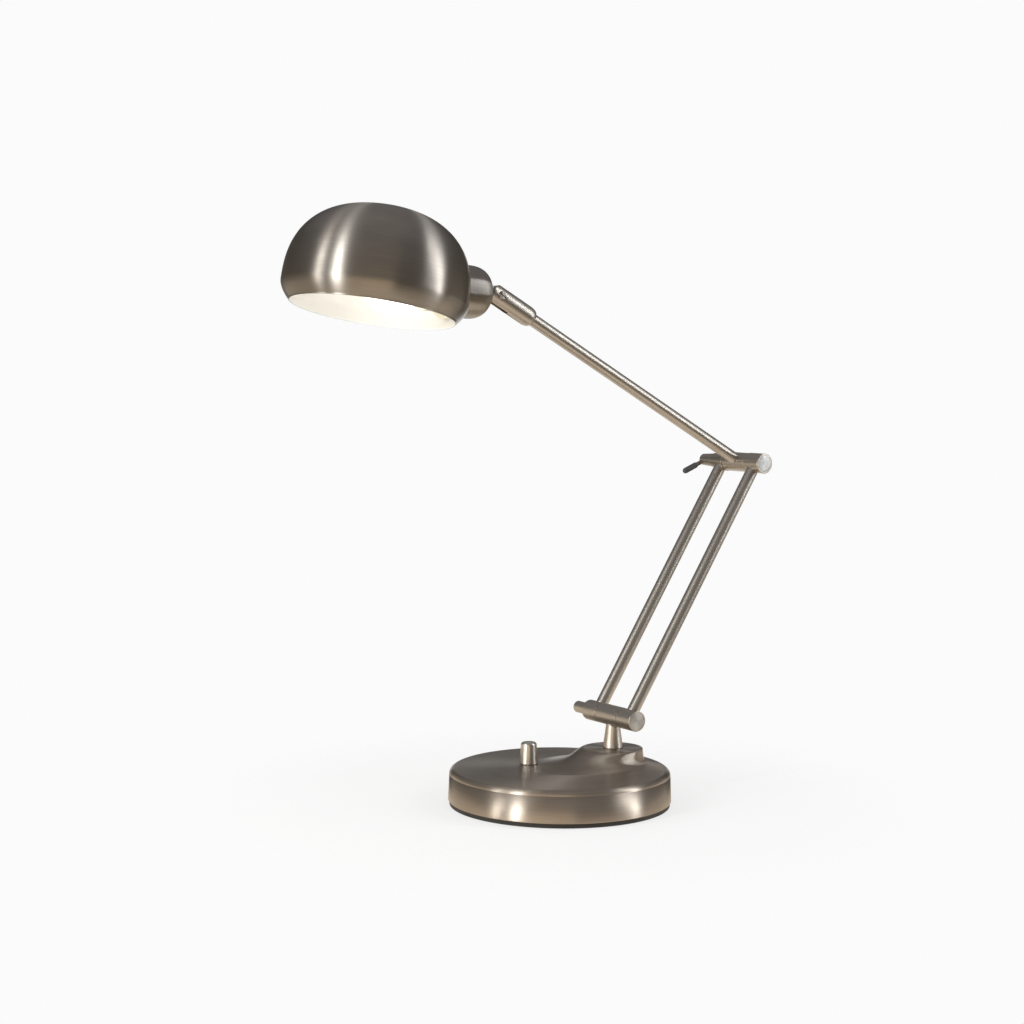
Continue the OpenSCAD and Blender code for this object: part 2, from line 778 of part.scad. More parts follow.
// ---- Head ----

// Tongue between the tines, its collar, and the hollow stud that enters the cup
module tongue() {
  color(steel) along_cup() difference() {
    union() {
      y_cylinder(tongue_r, -tongue_t / 2, tongue_t / 2);
      translate([-collar_start - 0.5, -tongue_t / 2, -tongue_r / 2 - 1])
        cube([collar_start + 0.5, tongue_t, tongue_r + 2]);
      u_cylinder(collar_d / 2, collar_start, cup_start);
      u_cylinder(stud_r, cup_start - 1, cup_start + stud_l);
    }
    y_cylinder(pin_r + run_gap, -tongue_t, tongue_t);
    u_cylinder(tongue_t / 2 - 0.8, pin_r + 1.5, cup_start + stud_l + 1);
  }
}

// Nut on the stud inside the cup
module tongue_nut() {
  start = cup_start + cup_wall + cup_floor_rise;
  color(steel) along_cup() difference() {
    translate([-start, 0, 0]) rotate([0, -90, 0]) cylinder(r = tongue_nut_r, h = tongue_nut_h, $fn = 6);
    u_cylinder(stud_r + fit_gap, start - 1, start + tongue_nut_h + 1);
  }
}

// Outline of the round end of the cup: a flat-nosed curve of the given radius and length
function cup_outline(r, start, length) =
  [for (i = [0:cup_steps]) let (a = 90 * i / cup_steps)
    [r * pow(sin(a), 2 / cup_power), start + length * (1 - pow(cos(a), 2 / cup_power))]];

// Spun cup around the lampholder, its mouth shaped to the side of the shade
module cup() {
  color(nickel) difference() {
    along_cup() difference() {
      u_turned(concat(cup_outline(cup_r, cup_start, cup_round), [[cup_r, cup_front], [0, cup_front]]));
      u_turned(concat(cup_outline(cup_r - cup_wall, cup_start + cup_wall, cup_round),
        [[cup_r - cup_wall, cup_front + 1], [0, cup_front + 1]]));
      u_cylinder(stud_r + fit_gap, cup_start - 1, cup_start + cup_wall + 1);
    }
    at_shade() rotate_extrude() polygon(concat([[0, -rim_drop]], shade_side(0), [[0, shade_h]]));
  }
}

// Lampholder with its screw shell, clamped between the stud and the shade ring
module lampholder() {
  color(white) along_cup() difference() {
    u_turned([[0, holder_start], [holder_rear_r, holder_start],
      [holder_r, holder_start + holder_taper], [holder_r, holder_end], [0, holder_end]]);
    u_cylinder(holder_mouth_r, holder_start + holder_rear_t, holder_end + 1);
    u_cylinder(contact_r + fit_gap, holder_start + holder_rear_t - 2, holder_end);
    u_cylinder(stud_r + fit_gap, holder_start - 1, holder_start + stud_bite);
  }
}

// Brass contact at the bottom of the lampholder
module centre_contact() {
  start = holder_start + holder_rear_t;
  color(copper) along_cup() u_cylinder(contact_r, start - 2, start + contact_h);
}

// Screw cap of the bulb, a thin shell
module bulb_cap() {
  start = bulb_cap_start;
  inner_r = bulb_cap_r - bulb_cap_wall;
  color(steel) along_cup() u_turned([
    [0, start], [bulb_tip_r, start], [bulb_cap_r - 1, start + 4], [bulb_cap_r, start + 5],
    [bulb_cap_r, bulb_cap_end], [inner_r, bulb_cap_end], [inner_r, start + 5.4],
    [bulb_tip_r - 0.4, start + bulb_cap_wall], [0, start + bulb_cap_wall]]);
}

// Round glass of the bulb, hollow, closed at the screw cap
module bulb_glass() {
  neck_angle = asin(bulb_neck_r / bulb_r);
  color(white) along_cup() u_turned(concat(
    [[0, bulb_cap_end], [bulb_neck_r, bulb_cap_end]],
    arc(0, bulb_u, bulb_r, -90 + neck_angle, 90, 20),
    arc(0, bulb_u, bulb_r - bulb_wall, 90, -90 + neck_angle + 3, 20),
    [[bulb_neck_r - bulb_wall, bulb_cap_end + 1], [0, bulb_cap_end + 1]]));
}

// Side of the dome as [radius, height], moved in by a wall thickness, from the rim to the top
function shade_side(inset) = concat(
  [for (i = [0:rim_steps - 1]) let (t = 1 - i / rim_steps)
    [shade_r - (shade_r - rim_r) * pow(t, rim_power) - inset, -rim_drop * t]],
  [for (i = [0:shade_steps - 1]) let (a = 90 * i / shade_steps)
    [(shade_r - inset) * pow(cos(a), 2 / shade_power), (shade_h - inset) * pow(sin(a), 2 / shade_power)]]);

// Spun dome, open below, with a round hole in its side for the lampholder
module shade() {
  inner = shade_side(shade_wall);
  color(nickel) difference() {
    at_shade() rotate_extrude() polygon(concat(
      shade_side(0), [[0, shade_h], [0, shade_h - shade_wall]],
      [for (i = [len(inner) - 1:-1:0]) inner[i]]));
    along_cup() u_cylinder(shade_hole_r, cup_start, shade_u - holder_r);
  }
}

// Ring screwed on the lampholder inside the shade
module shade_ring() {
  color(white) along_cup() difference() {
    u_cylinder(ring_r, ring_start, ring_start + ring_t);
    u_cylinder(holder_r + fit_gap, ring_start - 1, ring_start + ring_t + 1);
  }
}

base_cover();
bottom_plate();
ballast();
foot_pad();
base_screws();
cord_bush();
dimmer_box();
dimmer_nut();
dimmer_spindle();
dimmer_knob();
post();
swivel_tube();
swivel_washer();
swivel_nut();
lower_middle_hub();
lower_near_hub();
lower_far_hub();
lower_washers();
lower_axle();
lower_end_cap();
lower_round_nut();
near_rod();
far_rod();
rod_lead();
upper_near_hub();
upper_far_hub();
elbow_washers();
elbow_axle();
upper_end_cap();
clamp_hub();
lever_stem();
lever_grip();
elbow_middle_hub();
upper_arm();
arm_lead();
fork();
fork_washers();
pivot_pin();
pivot_nut();
tongue();
tongue_nut();
cup();
lampholder();
centre_contact();
bulb_cap();
bulb_glass();
shade();
shade_ring();
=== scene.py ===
from math import radians

import bmesh
import bpy
import numpy as np
from mathutils import Matrix, Vector


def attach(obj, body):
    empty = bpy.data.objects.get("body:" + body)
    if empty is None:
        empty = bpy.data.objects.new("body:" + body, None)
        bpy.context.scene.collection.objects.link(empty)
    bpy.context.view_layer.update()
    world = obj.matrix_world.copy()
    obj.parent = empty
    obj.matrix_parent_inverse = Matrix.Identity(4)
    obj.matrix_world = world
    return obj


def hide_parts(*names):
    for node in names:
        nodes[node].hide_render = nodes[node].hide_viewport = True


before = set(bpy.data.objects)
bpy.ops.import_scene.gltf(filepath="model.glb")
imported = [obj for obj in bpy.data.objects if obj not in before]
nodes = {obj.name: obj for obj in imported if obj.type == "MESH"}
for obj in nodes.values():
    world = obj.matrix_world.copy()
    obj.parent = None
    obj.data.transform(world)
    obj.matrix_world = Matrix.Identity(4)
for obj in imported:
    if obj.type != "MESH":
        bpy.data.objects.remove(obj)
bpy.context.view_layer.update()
MM = 0.001


# ---- Base cover ----
# A pressed steel shell, nickel plated and brushed round its axis. A round flat boss
# rises from its top in a long soft flare, with the hole for the post's tube in it.

def wrapped(name, points, place=Matrix(), loop=False):
    """A surface on a grid: points[row, column] in millimetres, the columns joined round
    to the first. A first or last row drawn to one point becomes a pole; with loop the
    last row joins the first. UV u is the mean length along the rows, v the turn."""
    points = np.asarray(points, float)
    rows, columns = points.shape[:2]
    flat = points.reshape(-1, 3) * MM
    matrix = np.array(place)
    flat = flat @ matrix[:3, :3].T + matrix[:3, 3]
    index = np.arange(rows * columns).reshape(rows, columns)
    steps = np.linalg.norm(np.diff(points, axis=0), axis=2).mean(1) * MM
    along = np.concatenate([[0], np.cumsum(steps)])
    if loop:
        last = np.linalg.norm(points[0] - points[-1], axis=1).mean() * MM
        index = np.vstack([index, index[:1]])
        along = np.append(along, along[-1] + last)
    index = np.hstack([index, index[:, :1]])
    turn = np.linspace(0, 1, columns + 1)
    low_pole = not loop and np.ptp(points[0], axis=0).max() < 1e-6
    high_pole = not loop and np.ptp(points[-1], axis=0).max() < 1e-6
    body = slice(1 if low_pole else 0, -1 if high_pole else None)
    i = index[body]
    s = np.broadcast_to(along[:, None], index.shape)[body]
    t = np.broadcast_to(turn, index.shape)[body]
    low, high = slice(None, -1), slice(1, None)
    corners = ((low, low), (low, high), (high, high), (high, low))
    quads = np.stack([i[at] for at in corners], -1).reshape(-1, 4)
    spread = np.stack([s, t], -1)
    uv = [np.stack([spread[at] for at in corners], 2).reshape(-1, 2)]
    faces = quads.tolist()
    middle = (turn[:-1] + turn[1:]) / 2
    poles = [(0, 1, high, low)] * low_pole + [(-1, -2, low, high)] * high_pole
    for pole, beside, one, other in poles:
        tips = np.full(columns, index[pole, 0])
        faces += np.stack([tips, index[beside][one], index[beside][other]], -1).tolist()
        uv.append(np.stack([
            np.stack([np.full(columns, along[pole]), middle], -1),
            np.stack([np.full(columns, along[beside]), turn[one]], -1),
            np.stack([np.full(columns, along[beside]), turn[other]], -1)], 1).reshape(-1, 2))
    ends = [] if loop else [index[0, 0], index[-1, 0]]
    used = np.unique(np.append(quads, ends)).astype(int)
    lookup = np.zeros(rows * columns, int)
    lookup[used] = np.arange(len(used))
    mesh = bpy.data.meshes.new(name)
    mesh.from_pydata(flat[used].tolist(), [], [[int(lookup[k]) for k in f] for f in faces])
    layer = mesh.uv_layers.new(name="brush")
    layer.data.foreach_set("uv", np.concatenate(uv).ravel())
    mesh.shade_smooth()
    piece = bpy.data.objects.new(name, mesh)
    bpy.context.scene.collection.objects.link(piece)
    return piece


def rounded(corners, radii, loop=False, steps=6):
    """A profile of straight lines whose corners are arcs of the given radii. Each arc
    touches both lines, and a point close beyond each end keeps the flats flat."""
    corners = np.asarray(corners, float)
    if loop:
        triples = zip(np.roll(corners, 1, 0), corners, np.roll(corners, -1, 0), radii)
        parts = []
    else:
        triples = zip(corners, corners[1:], corners[2:], radii)
        parts = [corners[:1]]
    for before, corner, after, radius in triples:
        back = (before - corner) / np.linalg.norm(before - corner)
        on = (after - corner) / np.linalg.norm(after - corner)
        half = np.arccos(np.clip(back @ on, -1, 1)) / 2
        reach = radius / np.tan(half)
        centre = corner + (back + on) / np.linalg.norm(back + on) * radius / np.sin(half)
        share = np.linspace(0, 1, steps + 1)[:, None]
        sweep = np.pi - 2 * half
        start, end = corner + back * reach - centre, corner + on * reach - centre
        mixed = np.sin((1 - share) * sweep) * start + np.sin(share * sweep) * end
        arc = centre + mixed / np.sin(sweep)
        beyond = reach * 1.15
        parts += [(corner + back * beyond)[None], arc, (corner + on * beyond)[None]]
    if not loop:
        parts.append(corners[-1:])
    return np.concatenate(parts)


def spun(r, angle, h):
    """Points about the Z axis: x = r cos(angle), y = r sin(angle) and z = h."""
    return np.stack(np.broadcast_arrays(r * np.cos(angle), r * np.sin(angle), h), -1)


def turned(name, profile, place=Matrix(), sides=128, loop=False):
    """A lathe form: the profile's (radius, height) pairs carried round the axis."""
    r, h = np.asarray(profile, float).T
    area = np.sum(r * np.roll(h, -1) - np.roll(r, -1) * h)
    if area < 0:
        r, h = r[::-1], h[::-1]
    angle = np.linspace(0, 2 * np.pi, sides, endpoint=False)
    return wrapped(name, spun(r[:, None], angle, h[:, None]), place, loop)


def node(tree, kind, inputs=(), **settings):
    """Adds one shader node, with its settings, its inputs given as values or links."""
    made = tree.nodes.new("ShaderNode" + kind)
    for name, value in settings.items():
        setattr(made, name, value)
    for key, value in dict(inputs).items():
        if isinstance(value, bpy.types.NodeSocket):
            tree.links.new(value, made.inputs[key])
        else:
            made.inputs[key].default_value = value
    return made


def new_material(name):
    """An empty node material and its Principled shader, joined to the output."""
    material = bpy.data.materials.new(name)
    material.use_nodes = True
    tree = material.node_tree
    tree.nodes.clear()
    shader = node(tree, "BsdfPrincipled")
    output = node(tree, "OutputMaterial", {"Surface": shader.outputs["BSDF"]})
    return material, tree, shader, output


def brushed_metal(name, dark, light, rough, stretch, relief=0.04):
    """Metal brushed round its axis: long fine lines along the turn, from noise that runs
    fast along the profile and slowly round it, in colour and roughness, and a highlight
    that spreads across the lines."""
    material, tree, shader, _ = new_material(name)
    uv = node(tree, "UVMap", uv_map="brush")
    split = node(tree, "SeparateXYZ", {0: uv.outputs["UV"]})
    angle = node(tree, "Math", {0: split.outputs["Y"], 1: 2 * np.pi}, operation="MULTIPLY")
    across = node(tree, "Math", {0: angle.outputs[0]}, operation="COSINE")
    depth = node(tree, "Math", {0: angle.outputs[0]}, operation="SINE")
    fine = node(tree, "Math", {0: split.outputs["X"], 1: 1000.0}, operation="MULTIPLY")
    broad = node(tree, "Math", {0: split.outputs["X"], 1: 40.0}, operation="MULTIPLY")
    lines_at = node(tree, "CombineXYZ", {
        0: across.outputs[0], 1: depth.outputs[0], 2: fine.outputs[0]})
    cloud_at = node(tree, "CombineXYZ", {
        0: across.outputs[0], 1: depth.outputs[0], 2: broad.outputs[0]})
    lines = node(tree, "TexNoise", {
        "Vector": lines_at.outputs[0], "Scale": 1.6, "Detail": 4.0, "Roughness": 0.6})
    cloud = node(tree, "TexNoise", {"Vector": cloud_at.outputs[0], "Scale": 1.3, "Detail": 2.0})
    both = node(tree, "Math", {0: lines.outputs["Fac"], 1: 0.75, 2: cloud.outputs["Fac"]},
                operation="MULTIPLY_ADD")
    share = node(tree, "MapRange", {"Value": both.outputs[0], "From Min": 0.55, "From Max": 1.2})
    colour = node(tree, "Mix", {"Factor": share.outputs[0], 6: (*dark, 1), 7: (*light, 1)},
                  data_type="RGBA")
    roughness = node(tree, "MapRange", {
        "Value": share.outputs[0], "To Min": rough + relief, "To Max": rough - relief})
    tangent = node(tree, "Tangent", direction_type="UV_MAP", uv_map="brush")
    tree.links.new(colour.outputs[2], shader.inputs["Base Color"])
    tree.links.new(roughness.outputs[0], shader.inputs["Roughness"])
    tree.links.new(tangent.outputs[0], shader.inputs["Tangent"])
    shader.inputs["Metallic"].default_value = 1.0
    shader.inputs["Anisotropic"].default_value = stretch
    return material


def dress(piece, body, slot, material, *stands_for):
    """Gives a piece its finish and its body and hides its CAD nodes. The slot is not used."""
    piece.data.materials.append(material)
    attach(piece, body)
    if stands_for:
        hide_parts(*stands_for)
    return piece


nickel = brushed_metal("brushed_nickel", (0.30, 0.27, 0.238), (0.40, 0.36, 0.318), 0.37, 0.93)
# The base's copy of the nickel is painted warmer and lighter, a painted warm reflection on the same
# plating.
base_nickel_painted_warm = brushed_metal("base_nickel_painted_warm", (0.34, 0.288, 0.238), (0.44, 0.378, 0.318), 0.37, 0.92)
# The copy for the tubes, hubs, post, nut and fork is painted lighter for the light on them, and its
# highlight is less stretched.
nickel_painted_lighter = brushed_metal("nickel_painted_lighter", (0.43, 0.388, 0.338), (0.49, 0.447, 0.396),
                              0.38, 0.2, 0.01)

post_x, boss_top, base_top, base_foot = 50.0, 37.5, 27.0, 3.3
tube_hole, boss_r, shoulder_r, flat_r, base_r = 4.05, 23.0, 4.0, 80.2, 85.0
flare_mid, flare_rx, flare_ry = 25.5, 50.5, 38.0
lip_share, lip_reach, flare_power = 0.6, 0.22, 0.75
inner_r, inner_round, ceiling, boss_ceiling = 82.6, 2.4, 25.4, 34.5
cavity_x, cavity_r, cavity_roof_r = post_x - 2, 26, 14

turn = np.linspace(0, 2 * np.pi, 192, endpoint=False)


def ring(mid, rx, ry, z):
    """One closed ring of the cover: an ellipse with its middle on the X axis."""
    return np.stack(np.broadcast_arrays(mid + rx * np.cos(turn), ry * np.sin(turn), z), -1)


share = np.linspace(0, 1, 48) ** 1.6
fall = (lip_share * np.exp(-(share / lip_reach) ** 2)
        + (1 - lip_share) * np.cos(np.pi / 2 * share ** flare_power) ** 2)
rings = [ring(post_x, r, r, boss_top) for r in (tube_hole, 10, 16, 21)]
rings += [ring(post_x + (flare_mid - post_x) * s, boss_r + (flare_rx - boss_r) * s,
               boss_r + (flare_ry - boss_r) * s,
               base_top + (boss_top - base_top) * f) for s, f in zip(share, fall)]
rings += [ring(flare_mid * (1 - s), flare_rx + (flat_r - flare_rx) * s,
               flare_ry + (flat_r - flare_ry) * s, base_top) for s in (0.04, 0.3, 0.6, 0.85, 0.98)]
bend = np.linspace(0, np.pi / 2, 13)
shoulder = np.stack([flat_r + shoulder_r * np.sin(bend),
                     base_top - shoulder_r + shoulder_r * np.cos(bend)], -1)
side = rounded([(base_r - 0.8, base_top - shoulder_r), (base_r, base_foot), (inner_r, base_foot),
                (inner_r, ceiling - inner_round)], (0.4, 0.4))
bend = np.linspace(0.2, np.pi / 2, 6)
inner_bend = np.stack([flat_r + inner_round * np.cos(bend),
                       ceiling - inner_round + inner_round * np.sin(bend)], -1)
rings += [ring(0, r, r, z) for r, z in np.concatenate([shoulder, side, inner_bend])]
rings += [ring(cavity_x, cavity_r, cavity_r, ceiling),
          ring(cavity_x, cavity_roof_r, cavity_roof_r, boss_ceiling),
          ring(post_x, tube_hole, tube_hole, boss_ceiling)]
cover = wrapped("base_cover_shell", np.stack(rings[::-1]), loop=True)
dress(cover, "base", "nickel", base_nickel_painted_warm, "base_cover")


# ---- Rubber pad, plate, weight and screws ----
# A moulded rubber pad under a zinc-plated steel plate, with a cast iron weight inside
# the cover. Three countersunk holes let the screws through from below.

def speckled(name, dark, light, rough, scale, bump_strength=0.1, metal=0.0, gloss=0.5):
    """A material with even fine grain in colour, roughness and bump, on Object coordinates."""
    material, tree, shader, _ = new_material(name)
    where = node(tree, "TexCoord")
    grain = node(tree, "TexNoise", {
        "Vector": where.outputs["Object"], "Scale": scale, "Detail": 5.0})
    patch = node(tree, "TexNoise", {
        "Vector": where.outputs["Object"], "Scale": scale / 14, "Detail": 2.0})
    both = node(tree, "Math", {0: grain.outputs["Fac"], 1: 0.6, 2: patch.outputs["Fac"]},
                operation="MULTIPLY_ADD")
    share = node(tree, "MapRange", {"Value": both.outputs[0], "From Min": 0.55, "From Max": 1.05})
    colour = node(tree, "Mix", {"Factor": share.outputs[0], 6: (*dark, 1), 7: (*light, 1)},
                  data_type="RGBA")
    roughness = node(tree, "MapRange", {
        "Value": share.outputs[0], "To Min": rough + 0.06, "To Max": rough - 0.06})
    bump = node(tree, "Bump", {
        "Height": grain.outputs["Fac"], "Strength": bump_strength, "Distance": 0.0003})
    tree.links.new(colour.outputs[2], shader.inputs["Base Color"])
    tree.links.new(roughness.outputs[0], shader.inputs["Roughness"])
    tree.links.new(bump.outputs[0], shader.inputs["Normal"])
    shader.inputs["Metallic"].default_value = metal
    shader.inputs["Specular IOR Level"].default_value = gloss
    return material


def refinish(material, *names):
    """Gives CAD nodes that stay as they are their finish, in their own material slots."""
    for name in names:
        for slot in nodes[name].material_slots:
            slot.material = material


rubber = speckled("black_rubber", (0.012, 0.011, 0.010), (0.022, 0.021, 0.019), 0.6, 900, 0.25)
zinc = speckled("zinc_plated_steel", (0.46, 0.46, 0.45), (0.62, 0.62, 0.60), 0.32, 500, 0.05, 1.0)
iron = speckled("cast_iron", (0.028, 0.028, 0.03), (0.06, 0.06, 0.063), 0.7, 350, 0.5, 0.6)
refinish(rubber, "foot_pad")
refinish(zinc, "bottom_plate", "base_screws")
refinish(iron, "ballast")


# ---- Cord bush ----
# A black rubber bush with a rounded flange, moulded in one piece and pushed into the
# rear of the cover, where the cord would leave it.

cord_z = 16.65
along_x = Matrix.Rotation(radians(90), 4, "Y")
bush_profile = rounded([(3, 80.8), (5.2, 80.8), (5.2, 82.3), (4, 82.3), (4, 84.7), (5.2, 84.7),
                        (4.6, 86.2), (3, 86.2)],
                       (0.3, 0.5, 0.1, 0.1, 0.1, 0.1, 0.5, 0.5), loop=True)
bush = turned("cord_bush_ring", bush_profile, Matrix.Translation((0, 0, cord_z * MM)) @ along_x,
              64, loop=True)
dress(bush, "base", "rubber", rubber, "cord_bush")


# ---- Dimmer ----
# A rotary dimmer on a threaded bush under the cover, with a lathe-turned metal knob
# pushed on its spindle.

housing = speckled("dimmer_housing", (0.02, 0.028, 0.045), (0.032, 0.042, 0.064), 0.5, 700)
refinish(housing, "dimmer_box")
refinish(zinc, "dimmer_nut", "dimmer_spindle")

knob_place = Matrix.Translation((-0.0114, 0.0255, 0))
knob_profile = rounded([(0, 40.9), (2.45, 40.9), (2.45, 31.2), (5.6, 31.2), (5.6, 27.4), (7, 27.4),
                        (6, 43.9), (0, 43.9)], (0.1, 0.2, 0.3, 0.3, 0.4, 2.0), steps=8)
knob = turned("knob_body", knob_profile, knob_place, 96)
# The knob's copy of the nickel is painted much lighter, a painted highlight for the bright light on
# it.
knob_painted_lighter_nickel = brushed_metal("knob_painted_lighter_nickel", (0.56, 0.525, 0.475), (0.64, 0.605, 0.555),
                           0.36, 0.6, 0.02)
dress(knob, "knob", "nickel", knob_painted_lighter_nickel, "dimmer_knob")


# ---- Post ----
# A turned post on the boss, wider at the foot, its top shaped to the cross bar. Inside
# it a threaded tube with a washer and a nut under the roof of the boss.

refinish(zinc, "swivel_tube", "swivel_washer", "swivel_nut")

axis_z, bar_r, post_top, post_foot = 62.6, 7.9, 11, 16
rise = np.concatenate([[0, 0.006, 0.02], np.linspace(0.06, 1, 18)])
around = np.linspace(0, 2 * np.pi, 96, endpoint=False)
foot_edge = 0.35 * np.clip(1 - rise / 0.02, 0, 1) ** 2
outer_r = (post_top + (post_foot - post_top) * (1 - rise) ** 1.3) / 2 - foot_edge
post_r = np.concatenate([outer_r, np.full(8, 4.03)])[:, None]
post_share = np.concatenate([rise, np.linspace(1, 0, 8)])[:, None]
saddle = axis_z - np.sqrt(np.clip(bar_r ** 2 - (post_r * np.cos(around)) ** 2, 0, None))
post_points = spun(post_r, around, boss_top + (saddle - boss_top) * post_share)
post = wrapped("post_turned", post_points, Matrix.Translation((post_x * MM, 0, 0)), loop=True)
dress(post, "post", "nickel", nickel_painted_lighter, "post")


# ---- Lower cross bar ----
# Three round steel hubs on one axle, nickel plated, with thin black washers between.
# The middle one is fixed on the post, the outer two carry the rods.

along_y = Matrix.Rotation(radians(-90), 4, "X")
rod_lean, rod_len, bore = 32.4, 229.6, 3.05
rods_at = (Matrix.Translation((post_x * MM, 0, axis_z * MM))
           @ Matrix.Rotation(radians(rod_lean), 4, "Y"))
elbow_at = rods_at @ Matrix.Translation((0, 0, rod_len * MM))
fibre = speckled("black_fibre", (0.013, 0.013, 0.013), (0.026, 0.026, 0.025), 0.55, 800)
refinish(fibre, "lower_washers")
refinish(zinc, "lower_axle")


def near_hub(name, place):
    """The hub nearest the camera, with the steps inside it for the axle head and cap."""
    return turned(name, rounded(
        [(6.33, -31), (bar_r, -31), (bar_r, -13.5), (bore, -13.5), (bore, -25.9), (4.53, -25.9),
         (4.53, -29.5), (6.33, -29.5)], (0.15, 0.6, 0.25, 0.1, 0.1, 0.1, 0.1, 0.1), loop=True),
        place @ along_y, loop=True)


def plain_hub(name, place, start, end, start_r, end_r, edge):
    """A hub with a plain bore, from start to end along the bar, straight or tapered."""
    return turned(name, rounded([(bore, start), (start_r, start), (end_r, end), (bore, end)],
                                (0.1, 0.25, edge, 0.1), loop=True), place @ along_y, loop=True)


dress(near_hub("lower_hub_near", rods_at), "lower_arm", "nickel", nickel_painted_lighter, "lower_near_hub")
dress(plain_hub("lower_hub_far", rods_at, 13.5, 31, bar_r, bar_r, 0.6),
      "lower_arm", "nickel", nickel_painted_lighter, "lower_far_hub")
dress(plain_hub("lower_hub_middle", rods_at, -13, 13, bar_r, bar_r, 0.25),
      "post", "nickel", nickel_painted_lighter, "lower_middle_hub")


# ---- End caps ----
# Plain turned steel discs pressed into the near ends of both cross bars, with a fine
# satin face.

def end_cap(name, place):
    """A disc with a small round edge and a very slightly domed face."""
    r = np.linspace(0, 5.9, 12)
    face = np.stack([r, -31.1 + 0.12 * (r / 5.9) ** 2], -1)
    edge = rounded([(5.9, -30.98), (6.3, -30.9), (6.3, -29.5), (0, -29.5)], (0.15, 0.1))
    return turned(name, np.concatenate([face, edge[1:]]), place @ along_y, 96)


cap_metal = brushed_metal("satin_end_face", (0.40, 0.39, 0.38), (0.52, 0.51, 0.49), 0.42, 0.4)
dress(end_cap("lower_cap", rods_at), "lower_arm", "steel", cap_metal, "lower_end_cap")
dress(end_cap("upper_cap", elbow_at), "lower_arm", "steel", cap_metal, "upper_end_cap")


# ---- Round nut ----
# A long plain nut, turned from steel and nickel plated, screwed on the far end of the
# lower axle, with a bevelled end.

nut_profile = rounded([(0, 45.5), (bore, 45.5), (bore, 31), (4.6, 31), (4.6, 46.8),
                       (3.4, 48), (0, 48)], (0.1, 0.1, 0.25, 0.3, 0.3))
nut = turned("friction_nut", nut_profile, rods_at @ along_y, 96)
dress(nut, "round_nut", "nickel", nickel_painted_lighter, "lower_round_nut")


# ---- Rods ----
# Two drawn steel tubes between the cross bars, nickel plated and brushed round. The
# lead runs up inside the far one.

tube_r, tube_bore, tube_edge, tube_rows = 4.7, 3.6, 0.1, 56
tube_start, rod_side = 3.65, 20.2


def tube(name, end, place):
    """A round tube with bevelled ends that are hidden in the hubs. Rows of faces of equal
    length keep the long walls even."""
    start = tube_start
    rows = np.linspace(start + tube_edge, end - tube_edge, tube_rows)
    outside = np.stack([np.full(tube_rows, tube_r), rows], -1)
    inside = np.stack([np.full(tube_rows, tube_bore), rows[::-1]], -1)
    thin, wide = tube_bore + tube_edge, tube_r - tube_edge
    profile = np.concatenate([[[thin, start], [wide, start]], outside,
                              [[wide, end], [thin, end]], inside])
    return turned(name, profile, place, 96, loop=True)


for name, across, cad_node in (("rod_near", -rod_side, "near_rod"),
                               ("rod_far", rod_side, "far_rod")):
    rod = tube(name, rod_len - tube_start, rods_at @ Matrix.Translation((0, across * MM, 0)))
    dress(rod, "lower_arm", "nickel", nickel_painted_lighter, cad_node)
refinish(fibre, "rod_lead")


# ---- Upper cross bar ----
# The same build as the lower bar, with a slimmer tapered far end. The middle hub
# carries the upper arm.

dress(near_hub("upper_hub_near", elbow_at), "lower_arm", "nickel", nickel_painted_lighter, "upper_near_hub")
dress(plain_hub("upper_hub_far", elbow_at, 13.5, 31, bar_r, 5.8, 0.5),
      "lower_arm", "nickel", nickel_painted_lighter, "upper_far_hub")
dress(plain_hub("elbow_hub", elbow_at, -13, 13, 7.6, 7.6, 0.25),
      "upper_arm", "nickel", nickel_painted_lighter, "elbow_middle_hub")
refinish(fibre, "elbow_washers")
refinish(zinc, "elbow_axle")


# ---- Clamp ----
# A tapered hub screwed on the elbow axle, a thin turned stem and a dark moulded sleeve
# with round ends, which a hand turns to hold the upper arm.

clamp_profile = rounded([(0, 40.1), (bore, 40.1), (bore, 31), (5.5, 31), (4.6, 45.5), (0, 45.5)],
                        (0.1, 0.1, 0.3, 0.8))
dress(turned("clamp_knuckle", clamp_profile, elbow_at @ along_y, 96),
      "clamp", "nickel", nickel_painted_lighter, "clamp_hub")

along_u = Matrix.Rotation(radians(-90), 4, "Y")
lever_at = (elbow_at @ Matrix.Rotation(radians(-54.9), 4, "Y")
            @ Matrix.Translation((0, 0.0428, 0)) @ along_u)
stem_metal = brushed_metal("lever_stem_metal", (0.20, 0.18, 0.155), (0.30, 0.27, 0.24), 0.34, 0.6)
stem_profile = rounded([(0, 0), (1.7, 0), (1.7, 22.8), (0, 22.8)], (0.3, 0.3))
stem = turned("lever_rod", stem_profile, lever_at, 48)
dress(stem, "clamp", "nickel", stem_metal, "lever_stem")

grip_plastic = speckled("grip_sleeve", (0.055, 0.053, 0.05), (0.085, 0.082, 0.077),
                        0.42, 1200, 0.12)
tip = np.linspace(0, np.pi / 2, 12)
grip_profile = np.concatenate([
    rounded([(0, 22.8), (1.73, 22.8), (1.73, 10.8), (2.35, 10.8), (2.35, 21)], (0.1, 0.1, 0.3)),
    np.stack([2.35 * np.cos(tip), 22.45 + 2.35 * np.sin(tip)], -1)])
dress(turned("lever_sleeve", grip_profile, lever_at, 64),
      "clamp", "grip", grip_plastic, "lever_grip")


# ---- Upper arm ----
# The same drawn tube as the rods, nickel plated, fixed in the elbow's middle hub and in
# the fork, with the lead in it.

arm_lean, arm_end = 28.7, 250
arm_at = elbow_at @ Matrix.Rotation(radians(arm_lean - rod_lean), 4, "Y")
dress(tube("arm_tube", arm_end, arm_at @ along_u),
      "upper_arm", "nickel", nickel_painted_lighter, "upper_arm")
refinish(fibre, "arm_lead")


